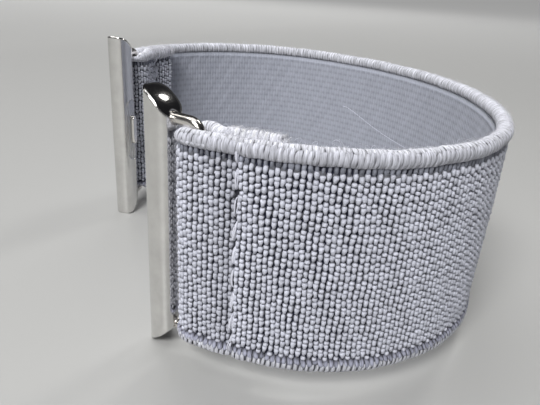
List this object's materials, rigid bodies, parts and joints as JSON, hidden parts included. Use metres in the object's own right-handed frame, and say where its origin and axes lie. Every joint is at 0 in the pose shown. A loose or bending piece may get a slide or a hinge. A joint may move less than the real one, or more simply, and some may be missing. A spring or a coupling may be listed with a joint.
{
  "type": "elastic watch band",
  "caption": "Elastic loop watch band: woven web folded and sewn round a wire bail at each end, each bail in a polished slide-in rail with a sprung catch.",
  "frame": {"origin": "middle of the outer box at its lowest level, where the lower ends of the two rails stand", "axes": "+X from the watch's side to the far side of the wrist, +Y from end a to end b, +Z across the width of the band"},
  "size_m": [0.049, 0.067, 0.0295],
  "materials": {
    "web_weave": "pebble weave of round light grey-lavender loops",
    "edge_cord": "rolled edge closely wrapped with pale yarn",
    "sewing_thread": "pale grey sewing thread",
    "polished_steel": "mirror polished",
    "satin_steel": "satin",
    "spring_steel": "drawn wire"
  },
  "bodies": {
    "strap": {"elastic_web": "web_weave", "upper_edge_cord": "edge_cord", "lower_edge_cord": "edge_cord", "seam_stitching_a": "sewing_thread", "seam_stitching_b": "sewing_thread"},
    "adapter_a": {"wire_bail_a": "polished_steel", "lug_rail_a": "polished_steel", "lock_plate_a": "satin_steel", "lock_springs_a": "spring_steel"},
    "adapter_b": {"wire_bail_b": "polished_steel", "lug_rail_b": "polished_steel", "lock_plate_b": "satin_steel", "lock_springs_b": "spring_steel"},
    "catch_a": {"lock_catch_a": "polished_steel"},
    "catch_b": {"lock_catch_b": "polished_steel"}
  },
  "joints": [
    {"name": "bail_swing_a", "type": "hinge", "parent": "strap", "child": "adapter_a", "pos_m": [-0.01985, -0.0223, 0.01475], "axis": [0, 0, 1], "range_deg": [-75, 95]},
    {"name": "bail_swing_b", "type": "hinge", "parent": "strap", "child": "adapter_b", "pos_m": [-0.01985, 0.0223, 0.01475], "axis": [0, 0, -1], "range_deg": [-75, 95]},
    {"name": "catch_press_a", "type": "slide", "parent": "adapter_a", "child": "catch_a", "axis": [-0.8192, -0.5736, 0], "range_m": [0, 0.0005], "stiffness_N_per_m": 1000, "springref_m": -0.0005, "deforming": ["lock_springs_a"]},
    {"name": "catch_press_b", "type": "slide", "parent": "adapter_b", "child": "catch_b", "axis": [-0.8192, 0.5736, 0], "range_m": [0, 0.0005], "stiffness_N_per_m": 1000, "springref_m": -0.0005, "deforming": ["lock_springs_b"]}
  ]
}
